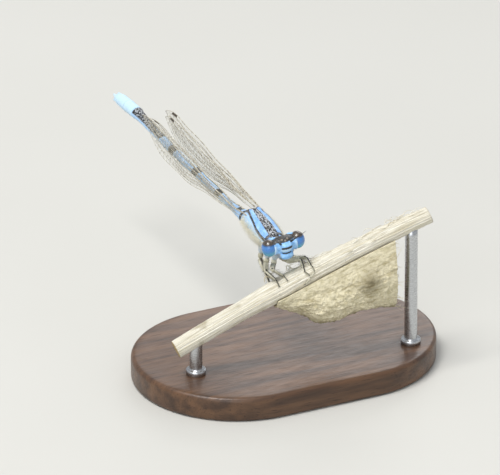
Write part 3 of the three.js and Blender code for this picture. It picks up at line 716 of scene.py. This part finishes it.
def head_piece():
    x, y, z = np.moveaxis(ball(230, 300, 0.03), -1, 0)
    way = np.stack([-z, -x, y], -1)
    far, stride = 2.0, 0.03
    reach = np.full(z.shape, far)
    seen = np.zeros(z.shape, bool)
    for r in np.arange(far, 0.2, -stride):
        inside = head_field(HEAD_MIDDLE + way * r) < 0
        reach = np.where(inside & ~seen, r, reach)
        seen |= inside
    low, high = reach.copy(), reach + stride
    for _ in range(12):
        middle = (low + high) / 2
        inside = head_field(HEAD_MIDDLE + way * middle[..., None]) < 0
        low, high = np.where(inside, middle, low), np.where(inside, high, middle)
    points = HEAD_MIDDLE + way * low[..., None]
    x, y, z = points[..., 0], points[..., 1], points[..., 2]
    side = np.abs(x)
    brow = 0.43 - 0.3 * smooth(-0.4, 0.2, y)
    top = z - brow
    spot = 1 - np.sqrt(((side - 0.86) / 0.34) ** 2 + ((y - 0.3) / 0.2) ** 2 + ((z - 0.62) / 0.3) ** 2)
    top = np.minimum(top, -spot * 0.25)
    front = y < -0.35
    clypeus = np.where(front, np.minimum(0.1 - np.abs(z), (0.5 - side) * 0.6), -1)
    lip = np.where(front, np.minimum(0.07 - np.abs(z + 0.48), (0.42 - side) * 0.5), -1)
    dark = np.max([top, clypeus, lip, y - DARK_BACK], axis=0)
    # Painted highlight: a pale band across the front of the face, on the ridge below the clypeus' black bar.
    pale = bell(z, -0.2, 0.1) * (side < 0.56) * front * 0.8
    pale = np.maximum(pale, 0.5 * smooth(-1.02, -1.12, z))
    eye = np.linalg.norm((points - EYE_PLACE) / EYE_RADII, axis=-1)
    eye = np.minimum(eye, np.linalg.norm((points * [-1, 1, 1] - EYE_PLACE) / EYE_RADII, axis=-1))
    pale = np.maximum(pale, 0.75 * bell(eye, 1.06, 0.1) * (z < 0.3))
    dark = np.where((eye < 1.16) & (z < 0.38) & (y < 0.2), -0.2, dark)
    near = [np.linalg.norm(points - np.array(place), axis=-1) for place in OCELLI]
    bead = np.max([smooth(0.12, OCELLUS_RADIUS, distance) for distance in near], axis=0)
    # Painted shade: grey on the cheeks beside the labrum, where the gap between them lies in shade.
    bead = np.maximum(bead, 0.7 * smooth(0.5, 0.66, side) * smooth(-0.4, -0.6, z))
    shape = Shape().tube(points, dark=dark, pale=pale, bead=bead)
    for place in OCELLI:
        bead_points = np.array(place) + OCELLUS_RADIUS * ball(12, 16, 0.02)
        shape.tube(bead_points, dark=-1, pale=0.3, bead=1)
    shape.piece("head_skin", HEAD, face_look(), "face_blue", ("head", "labrum"))


def eye_piece(name, side):
    globe = ball(90, 120, 0.01)
    x, z = globe[..., 0], globe[..., 2]
    points = globe * EYE_RADII + EYE_PLACE * [side, 1, 1]
    rim = 0.75 * smooth(0.62, 0.8, -x * side) * (1 - smooth(0.15, 0.4, z))
    shape = Shape().tube(points, high=z, rim=rim)
    shape.piece(f"eye_{name}_globe", HEAD, EYE_LOOK, "eye", (f"eye_{name}",))


def antenna_piece(name, side):
    root = np.array([side * 0.46, -0.56, 0.34])
    way = unit([side * 0.5, -0.62, 0.6])
    place = np.array([0, 0.1, 0.16, 0.32, 0.38, 0.6, 0.7, 1.0, 1.3, 1.6, 1.95])
    radii = np.array([0.09, 0.1, 0.07, 0.08, 0.05, 0.045, 0.034, 0.03, 0.024, 0.02, 0.01])
    dense = np.linspace(0, 1.95, 60)
    path = root + way * dense[:, None] + np.array([0, -0.06, 0.1]) * (dense[:, None] / 1.95) ** 2
    shape = Shape().tube(rings_on(path, np.interp(dense, place, radii), 12))
    shape.piece(f"antenna_{name}_whip", HEAD, INK_LOOK, "dark_cuticle", (f"antenna_{name}",))


# Wings

WING_PITCH = math.radians(5.4)
WINGS = {
    "forewing": {"length": 20.2, "chord": 2.75, "root": (0.8, 3.95, 0.05), "plane": (1.1, 1.35), "seed": 5},
    "hindwing": {"length": 18.3, "chord": 2.9, "root": (0.5, 5.15, 0.1), "plane": (0.62, 0.92), "seed": 6},
}
STALK_SHARE, STALK_HEIGHT = 0.13, 0.5
BROADEST = 0.72  # the wing has its full depth from this share of the length on
EDGE_ARCH = 0.05
ROOT_RISE, ROOT_SHARE = 0.4, 0.15
TIP_DROP = 0.24
TIP_SHARE = 0.86  # the leading edge turns down from this share of the length on
TIP_POWER, END_POWER = 2.4, 2.6  # how suddenly the two edges turn towards the tip
FILM_HALF = 0.008  # half the thickness of the film
# The animal's right wings lie closer to the abdomen and a little higher towards their tips.
RIGHT_CLOSE, RIGHT_LIFT = 0.68, 0.25
VEIN_LINES = [0, 0.055, 0.13, 0.25, 0.37, 0.5, 0.63, 0.76, 0.88, 1.0]
VEIN_STARTS = [0, 0.04, 0.04, 0.26, 0.34, 0.2, 0.12, 0.1, 0.14, 0]
VEIN_ENDS = [1, 0.38, 0.94, 0.985, 0.99, 0.985, 0.97, 0.93, 0.72, 1]
VEIN_RADII = [0.054, 0.03, 0.044, 0.026, 0.024, 0.026, 0.026, 0.028, 0.024, 0.026]


def wing_point(share, deep, wing, out=0.0):
    """A point of a left wing. deep is 0 at the leading edge and 1 at the trailing edge."""
    share, deep = np.broadcast_arrays(np.asarray(share, float), np.asarray(deep, float))
    chord, length = wing["chord"], wing["length"]

    def leading(s):
        rise = EDGE_ARCH * np.sin(np.pi * s) + ROOT_RISE * (1 - smooth(0, ROOT_SHARE, s))
        return rise - np.clip((s - TIP_SHARE) / (1 - TIP_SHARE), 0, 1) ** TIP_POWER * chord * TIP_DROP

    spread = smooth(STALK_SHARE * 0.6, BROADEST, share)
    depth = STALK_HEIGHT + (chord - STALK_HEIGHT) * spread
    rounding = np.clip((share - BROADEST) / (1 - BROADEST), 0, 1) ** END_POWER
    bottom = leading(np.minimum(share, TIP_SHARE)) - depth + rounding * (depth - chord * TIP_DROP)
    high = leading(share) + (bottom - leading(share)) * deep
    along = share * length
    spring = smooth(0, STALK_SHARE * length * 1.5, along)
    pleat = 0.05 * np.cos(deep * 8 * math.pi) * (1 - 0.6 * deep) * spring
    wave = 0.06 * np.sin(along * 1.1 + deep * 2.2) * spring
    root = wing["root"]
    inner, outer = wing["plane"]
    plane = inner + (outer - inner) * smooth(0.3, 1.0, share)
    x = root[0] + (plane - root[0]) * spring + pleat + wave + out
    y = root[1] + along * math.cos(WING_PITCH) - high * math.sin(WING_PITCH)
    z = root[2] + along * math.sin(WING_PITCH) + high * math.cos(WING_PITCH)
    z = z + wing.get("lift", 0.0) * smooth(0.3, 1.0, share)
    return np.stack([x, y, z], -1)


def wing_pieces(kind, name, side):
    wing = WINGS[kind]
    flip = np.array([side, 1, 1])
    if side < 0:
        inner, outer = wing["plane"]
        wing = {**wing, "plane": (inner * 0.92, outer * RIGHT_CLOSE), "lift": RIGHT_LIFT}
    share, deep = np.meshgrid(np.linspace(0, 1, 220), np.linspace(0, 1, 48), indexing="ij")
    stigma = smooth(0.895, 0.9, share) * smooth(0.945, 0.94, share) * smooth(0.15, 0.13, deep)
    film = Shape()
    front = wing_point(share, deep, wing, FILM_HALF) * flip
    back = wing_point(share, deep, wing, -FILM_HALF) * flip
    rings, marks = folded(front, back), folded(stigma, stigma)
    if side > 0:
        rings, marks = rings[:, ::-1], marks[:, ::-1]
    film.tube(rings, stigma=marks)
    film.piece(f"{kind}_{name}_film", BODY, FILM_LOOK, "wing", (f"{kind}_{name}",))
    veins = Shape()
    for line, start, end, radius in zip(VEIN_LINES, VEIN_STARTS, VEIN_ENDS, VEIN_RADII):
        s = np.linspace(start, end, 60)
        path = wing_point(s, line + 0.012 * np.sin(s * 23 + line * 9), wing) * flip
        veins.tube(rings_on(path, radius * (1 - 0.5 * s), 6))
    jitter = np.random.default_rng(wing["seed"])
    for k in range(len(VEIN_LINES) - 1):
        start = max(VEIN_STARTS[k], VEIN_STARTS[k + 1], 0.1)
        if k < 2:
            start = 0.4
        gap = 0.62 if k < 3 else 0.54
        s = start + 0.01
        while s < 0.975:
            steps = np.linspace(VEIN_LINES[k], VEIN_LINES[k + 1], 4)
            path = wing_point(s + 0.004 * np.sin(steps * 9), steps, wing) * flip
            veins.tube(rings_on(path, 0.0105, 4))
            s += gap * jitter.uniform(0.8, 1.2) / wing["length"]
    veins.piece(f"{kind}_{name}_veins", BODY, VEIN_LOOK, "wing")


# Stem and legs

STEM_MIDDLE = np.array([0, -1.7, -4.02])
STEM_WAY = unit([0.9108, -0.1281, 0.3926])
STEM_LOW, STEM_HIGH = -10.5, 14.0
STEM_ARCH = 0.0032
# Ribs round the stem, as (how many, height, start)
STEM_RIBS = ((5, 0.016, 0.3), (9, 0.016, 1.9), (14, 0.016, 4.1), (23, 0.014, 2.2), (37, 0.01, 5.0))
STEM_RADII = [[-10.5, 0.8], [-4, 0.84], [-1.5, 0.96], [0, 1.02], [2, 0.96], [6, 0.88], [14, 0.73]]
STEM_FRONT = unit(-np.cross([0, 0, 1], STEM_WAY))
STEM_UP = unit(np.cross(STEM_FRONT, STEM_WAY))
# Rings of a cut end from its middle outwards, as (share of the radius, how far it stands out)
CUT_RINGS = ((0.1, 0.0), (0.45, 0.03), (0.8, 0.05), (0.97, 0.03))
# The splinters below the animal, as (place along the stem, degrees round it, length, lift)
SPLINTERS = (
    (-0.55, 118, 1.0, 0.55),
    (0.1, 124, 0.9, 0.6),
    (0.9, 122, 0.8, 0.45),
    (1.1, 112, 0.5, 0.3),
    (1.3, 128, 0.6, 0.5),
)
THICK_LIFT, THICK_RADIUS = 0.42, 0.07  # splinters that lift more than the first have the second as radius


def stem_axis(along):
    along = np.asarray(along, float)[..., None]
    return STEM_MIDDLE + STEM_WAY * along - np.array([0, 0, STEM_ARCH]) * along * along


def stem_radius(along):
    return np.interp(along, [row[0] for row in STEM_RADII], [row[1] for row in STEM_RADII])


def stem_surface(along, degrees, clear=0.0):
    turn = np.radians(np.asarray(degrees, float))[..., None]
    out = STEM_FRONT * np.cos(turn) + STEM_UP * np.sin(turn)
    return stem_axis(along) + out * (stem_radius(along) + clear)[..., None]


def stem_relief(along, degrees):
    """Ribs that run along the stem and drift a little."""
    turn = np.radians(degrees)
    relief = 0
    for count, size, phase in STEM_RIBS:
        relief = relief + size * np.cos(count * turn + phase + 0.25 * np.sin(along * 0.35 + phase))
    return relief


def stem_piece():
    along = np.arange(STEM_LOW, STEM_HIGH + 0.001, 0.05)
    degrees = np.linspace(0, 360, 140, endpoint=False)
    a, d = np.meshgrid(along, degrees, indexing="ij")
    points = stem_surface(a, d, stem_relief(a, d) - 0.02)
    # Its surface is rougher and more worn where the sheath came away
    rough = 0.03 * lumpy(points, 0.5, 4) * (0.4 + bell(a, 1.5, 3))
    points += (points - stem_axis(a)) * rough[..., None]
    worn = 0.25 + 0.75 * bell(a, 2.5, 3.5)

    def cap(row, way):
        axis = stem_axis(a[row])
        return [axis + (points[row] - axis) * share + STEM_WAY * way * out for share, out in CUT_RINGS]

    def pad(value, fill):
        ends = np.full((len(CUT_RINGS), len(degrees)), fill)
        return np.concatenate([ends, value, ends])

    rings = np.concatenate([cap(0, -1), points, cap(-1, 1)[::-1]])
    around = np.abs(((d + 90) % 360) / 180 - 1) * math.pi
    cut = pad(np.zeros_like(a), 1)
    shape = Shape().tube(rings, along=pad(a, 0), around=pad(around, 0), worn=pad(worn, 0), cut=cut)
    # Splinters and fibres that lift off the stem
    lifts = list(SPLINTERS)
    for _ in range(46):
        place, turn = rng.uniform(1.5, 12.8), rng.uniform(20, 150)
        lifts.append((place, turn, rng.uniform(0.6, 1.9), rng.uniform(0.05, 0.4)))
    for place, turn, length, lift in lifts:
        t = np.linspace(0, 1, 14)
        sway = rng.uniform(-16, 16)
        curl = rng.uniform(0.5, 1.0)
        way = 1 if rng.random() < 0.6 else -1
        reach = place + way * length * t * (1 - 0.2 * t)
        path = stem_surface(reach, turn + sway * t**2, lift * np.sin(t * math.pi * curl) - 0.01)
        thick = THICK_RADIUS if lift > THICK_LIFT else rng.uniform(0.014, 0.035)
        width = thick * rounded(t, 2, 1.03)
        shape.tube(rings_on(path, width, 5), along=place, around=turn / 60, worn=0.1, cut=0)
    shape.piece("stem_straw", ANIMAL, straw_look(), "straw", ("perch_stem",))


# The sheath hangs below the stem, as [place along the stem, how far it hangs]
SHEATH_DROPS = [[-1, 1.3], [0.5, 2.4], [2, 3.7], [3.7, 5.0], [7.1, 5.6], [10.4, 6.8]]
SHEATH = {"from": -1.0, "to": 10.4, "top": 0.42, "bulge": 1.5, "curl": 0.7, "half": 0.06}
SHEATH_LENGTH = SHEATH["to"] - SHEATH["from"]
SHEATH_ROWS, SHEATH_COLUMNS = 250, 150


def sheath_point(u, v):
    along = SHEATH["from"] + SHEATH_LENGTH * u
    drop = curve(SHEATH_DROPS, along)
    near = stem_radius(along) + 0.1
    full = np.minimum(1, drop / 5)
    front = near + (-SHEATH["curl"] - near) * v + SHEATH["bulge"] * full * np.sin(np.pi * v)
    down = SHEATH["top"] + (drop - SHEATH["top"]) * np.sin((np.pi / 2) * np.minimum(1, v * 1.15))
    return stem_axis(along) + STEM_FRONT * front[..., None] - np.array([0, 0, 1.0]) * down[..., None]


def sheath_piece():
    u, v = np.meshgrid(np.linspace(0, 1, SHEATH_ROWS), np.linspace(0, 1, SHEATH_COLUMNS), indexing="ij")
    base = sheath_point(u, v)
    du, dv = np.gradient(base, axis=0), np.gradient(base, axis=1)
    out = unit(np.cross(du, dv))
    loose = smooth(0.0, 0.25, v)
    fold = lumpy(base * [0.6, 1, 1], 1.3, 4, 1)
    small = lumpy(base, 0.35, 4, 2)
    ridge = 1 - np.abs(lumpy(base, 0.8, 3, 3)) * 2
    # The hollow is pressed in, and its mask also paints shade into the hollow.
    hollow = bell(SHEATH["from"] + SHEATH_LENGTH * u, 7.6, 1.0) * bell(v, 0.24, 0.1)
    push = loose * (0.16 * fold + 0.035 * small + 0.06 * (ridge - 0.6) - 0.4 * hollow)
    rag = 0.3 * lumpy(np.stack([u * 11, 0 * u, 0 * u], -1), 0.5, 4, 4) * smooth(0.8, 1.0, v)
    middle = base + out * push[..., None] + np.array([0, 0, 1.0]) * np.clip(rag, -0.1, 0.4)[..., None]
    front, back = middle + out * SHEATH["half"], middle - out * SHEATH["half"]
    # deep carries the hollow's mask into the colour as painted shade.
    along, deep = folded(u, u) * SHEATH_LENGTH, folded(hollow, hollow) * 0.75
    shape = Shape().tube(folded(front, back), along=along, down=folded(v, v), hollow=deep)
    # Torn fibres along its upper edge, its end and its free edge
    for _ in range(70):
        where = rng.random()
        if where < 0.35:
            a, b = rng.uniform(0.55, 1.0), rng.uniform(0.0, 0.1)
        elif where < 0.65:
            a, b = 1.0, rng.uniform(0, 0.9)
        else:
            a, b = rng.uniform(0.1, 0.95), 1.0
        i, j = int(a * (SHEATH_ROWS - 1)), int(b * (SHEATH_COLUMNS - 1))
        t = np.linspace(0, 1, 12)[:, None]
        way = unit(out[i, j] * rng.uniform(0.0, 0.5) + rng.normal(0, 0.5, 3) + (du[i, j] / 0.05) * 0.8 * a)
        bend = rng.normal(0, 0.35, 3)
        length = rng.uniform(0.4, 1.3)
        path = middle[i, j] + (way * t + bend * t * t) * length
        rings = rings_on(path, rng.uniform(0.012, 0.03) * (1.05 - t[:, 0]), 4)
        shape.tube(rings, along=a * SHEATH_LENGTH, down=b * 0.4, hollow=0)
    shape.piece("sheath_husk", ANIMAL, husk_look(), "husk", ("perch_sheath",))


# Each leg: hip, knee and the way round the stem as [place along it, degrees round it]
LEGS = {
    "foreleg": {
        "hip": (0.5, -0.46, -1.95),
        "left": ((1.56, -1.59, -1.82), [[2.1, 68], [1.98, 46], [2.2, 25]]),
        "right": ((-1.41, -2.12, -1.95), [[0.25, 85], [0.3, 67], [0.35, 50]]),
    },
    "midleg": {
        "hip": (0.62, 0.75, -2.3),
        "left": ((2.19, -1.37, -1.89), [[2.75, 62], [2.78, 44], [2.75, 26], [2.2, 9], [1.6, -8]]),
        "right": ((-1.5, -1.2, -2.5), [[-0.45, 82], [-0.48, 63], [-0.5, 45]]),
    },
    "hindleg": {
        "hip": (0.6, 1.95, -2.35),
        "left": ((2.6, 1.5, -3.2), [[2.6, 162], [2.6, 180], [2.6, 198]]),
        "right": ((-0.75, 0.55, -3.45), [[-0.95, 160], [-0.98, 180], [-1.0, 200]]),
    },
}


LEG_RADII = [0.13, 0.105, 0.08, 0.07, 0.062, 0.055]  # from the knee on


def limb(shape, start, end, first, last, swell=0.12, stripe=0.55):
    """One joint of a leg with rounded ends and a dark stripe on its outer side."""
    t = np.linspace(0, 1, 26)
    thick = (first + (last - first) * t) * (1 + swell * np.sin(np.pi * t))
    inward = np.minimum(t, 1 - t) * np.linalg.norm(end - start)
    ends = np.minimum(1, np.sqrt(np.clip(1 - (1 - inward / first) ** 2, 0.05, 1)))
    ends = np.where(inward > first, 1, ends)
    path = start + (end - start) * t[:, None]
    rings = rings_on(path, thick * ends, 16)
    out = unit(rings - path[:, None])
    upward = out @ unit([0.1 * np.sign(start[0]), -0.35, 0.9])
    dark = upward - (1 - stripe) + 0.5 * smooth(0.92, 1.0, t)[:, None]
    shape.tube(rings, dark=dark)


def leg_piece(kind, name, side):
    leg = LEGS[kind]
    turn = Matrix.Rotation(-BODY_ROLL, 3, "Y")
    hip = np.array(turn @ Vector((leg["hip"][0] * side, leg["hip"][1], leg["hip"][2])))
    knee, grip = np.array(leg[name][0]), leg[name][1]
    joint = hip + np.array([side * 0.12, 0, -0.42])
    shape = Shape()
    limb(shape, hip + [0, 0, 0.1], joint + [0, 0, -0.05], 0.25, 0.2, 0.05, 0.3)
    limb(shape, joint, knee, 0.22, 0.17, 0.12, 0.14)
    stops = [knee] + [stem_surface(np.array(a), np.array(d), 0.07) for a, d in grip]
    for k in range(len(stops) - 1):
        limb(shape, stops[k], stops[k + 1], LEG_RADII[k], LEG_RADII[k + 1] * 0.95, 0.06, 0.24)
    toe, way = stops[-1], unit(stops[-1] - stops[-2])
    for spread in (-1, 1):
        t = np.linspace(0, 1, 8)[:, None]
        outward = STEM_WAY * spread * 0.11
        inward = unit(toe - stem_axis(np.array(grip[-1][0])))
        claw = toe + way * 0.16 * t + outward * t - inward * 0.05 * t**2
        shape.tube(rings_on(claw, 0.03 * (1.05 - t[:, 0]), 6), dark=1.0)
    shape.piece(f"{kind}_{name}_cuticle", ANIMAL, LEG_LOOK, "leg", (f"{kind}_{name}",))
    return joint, stops


def leg_bristles():
    """Rows of stiff black bristles on the femora and tibiae of all six legs."""
    roots, ways, lengths, spots = [], [], [], []
    for place, (joint, stops) in enumerate(LEG_LINES):
        for start, end, radius, long in ((joint, stops[0], 0.17, 0.3), (stops[0], stops[1], 0.1, 0.42)):
            way = unit(end - start)
            a = unit(np.cross(way, [0.3, 0.2, 0.9]))
            b = np.cross(way, a)
            count = max(4, int(np.linalg.norm(end - start) / 0.17))
            for row in range(4):
                angle = row * math.pi / 2 + 0.6
                out = a * math.cos(angle) + b * math.sin(angle)
                for k in range(count):
                    t = (k + 0.5 + 0.3 * (row % 2)) / (count + 0.5)
                    roots.append(start + (end - start) * t + out * radius * 0.85)
                    ways.append(unit(out * 0.9 + way * 0.75 + rng.normal(0, 0.08, 3)))
                    lengths.append(long * rng.uniform(0.7, 1.1))
                    spots.append([0.05 + place * 0.15 + 0.1 * t, 0.1 + 0.2 * row])
    shape = Shape()
    roots, ways, lengths, spots = map(np.array, (roots, ways, lengths, spots))
    uv = hairs(shape, roots, ways, ways * 0.1, lengths, 0.013, spots, 3, 4)
    shape.piece("leg_bristles", ANIMAL, INK_LOOK, "leg", roots=uv)


# Stand

BASE = {"width": 27, "depth": 18, "thickness": 2.2, "edge": 0.4}
ROD_RADIUS = 0.55
ROD_PLACES = {"low": -8.6, "high": 12.3}


def base_piece():
    edge, top = BASE["edge"], BASE["thickness"]
    flat = BASE["depth"] / 2 - edge
    straight = (BASE["width"] - BASE["depth"]) / 2
    turn = circle(160)
    outline = np.stack([np.cos(turn), np.sin(turn)], -1)
    shift = np.where(np.cos(turn) >= 0, straight, -straight)
    profile = [(0.0, 0.0), (6.0, 0.0), (flat, 0.0)]
    for angle in np.linspace(-90, 90, 15):
        rise = edge if angle < 0 else top - edge
        a = math.radians(angle)
        profile.append((flat + edge * math.cos(a), rise + edge * math.sin(a)))
    profile += [(flat - 0.4, top), (6.0, top), (0.0, top)]
    rings = []
    for radius, height in profile[1:-1]:
        xy = outline * radius + np.stack([shift, 0 * shift], -1)
        rings.append(np.concatenate([xy, np.full((len(turn), 1), height)], -1))
    shape = Shape().tube(np.stack(rings))
    shape.piece("stand_base_wood", PART, walnut_look(), "walnut", ("stand_base",))


def rod_piece(name, along):
    foot = stem_axis(np.array(along)) + ANIMAL_PLACE
    top = foot[2] - 0.3
    low = BASE["thickness"] - 0.05
    heights = [low, low + 0.02, low + 0.42, low + 0.5, low + 0.52] + list(np.linspace(low + 0.6, top, 12))
    widths = [0.8, 0.86, 0.86, 0.8, 0.56] + [ROD_RADIUS] * 12
    angle = circle(48)
    rings = [
        np.stack([foot[0] + w * np.cos(angle), foot[1] + w * np.sin(angle), 0 * angle + h], -1)
        for h, w in zip(heights, widths)
    ]
    shape = Shape().tube(np.stack(rings))
    shape.piece(f"stand_rod_{name}_steel", PART, STEEL_LOOK, "steel", (f"stand_rod_{name}",))


# The whole

EYE_LOOK, INK_LOOK, FILM_LOOK, VEIN_LOOK = eye_look(), ink_look(), film_look(), vein_look()
LEG_LOOK, STEEL_LOOK = leg_look(), steel_look()
body_piece()
chest_hair()
head_piece()
LEG_LINES = []
for side_name, side_sign in (("left", 1), ("right", -1)):
    eye_piece(side_name, side_sign)
    antenna_piece(side_name, side_sign)
    for wing_kind in WINGS:
        wing_pieces(wing_kind, side_name, side_sign)
    for leg_kind in LEGS:
        LEG_LINES.append(leg_piece(leg_kind, side_name, side_sign))
leg_bristles()
stem_piece()
sheath_piece()
base_piece()
for rod_name, rod_along in ROD_PLACES.items():
    rod_piece(rod_name, rod_along)

# Stage, lights and camera

LOOK_AT = Vector((-3.50, -0.585, 13.085)) * MM
CAMERA_DISTANCE = 1.0
AZIMUTH, ELEVATION = math.radians(-26), math.radians(25.5)
TOWARDS = Vector(
    (math.sin(AZIMUTH) * math.cos(ELEVATION), -math.cos(AZIMUTH) * math.cos(ELEVATION), math.sin(ELEVATION))
)

bpy.ops.mesh.primitive_plane_add(size=6, location=(0, 0, 0))
floor = bpy.context.object
floor.name = "floor"
floor.data.materials.append(floor_look())

world = bpy.data.worlds.new("studio")
world.use_nodes = True
world.node_tree.nodes["Background"].inputs["Color"].default_value = (0.93, 0.96, 1.0, 1.0)
world.node_tree.nodes["Background"].inputs["Strength"].default_value = 0.55
bpy.context.scene.world = world


def area_light(name, place, size, power, tint=(1, 1, 1)):
    data = bpy.data.lights.new(name, "AREA")
    data.size = size
    data.energy = power
    data.color = tint
    lamp = bpy.data.objects.new(name, data)
    lamp.location = Vector(place)
    lamp.rotation_euler = (LOOK_AT - lamp.location).to_track_quat("-Z", "Y").to_euler()
    bpy.context.scene.collection.objects.link(lamp)


area_light("key", (-0.2, -0.05, 0.5), 0.22, 2.4, (1.0, 0.985, 0.965))
area_light("front", (-0.35, -0.5, 0.25), 0.4, 1.1, (0.95, 0.98, 1.0))
area_light("rim", (0.35, 0.45, 0.35), 0.3, 0.9)

camera_data = bpy.data.cameras.new("camera")
camera_data.sensor_width = 36
camera_data.lens = 849.7
camera_data.clip_start = 0.05
camera_data.clip_end = 20
camera = bpy.data.objects.new("camera", camera_data)
camera.location = LOOK_AT + TOWARDS * CAMERA_DISTANCE
camera.rotation_euler = (-TOWARDS).to_track_quat("-Z", "Y").to_euler()
bpy.context.scene.collection.objects.link(camera)
bpy.context.scene.camera = camera
bpy.context.scene.view_settings.view_transform = "Standard"
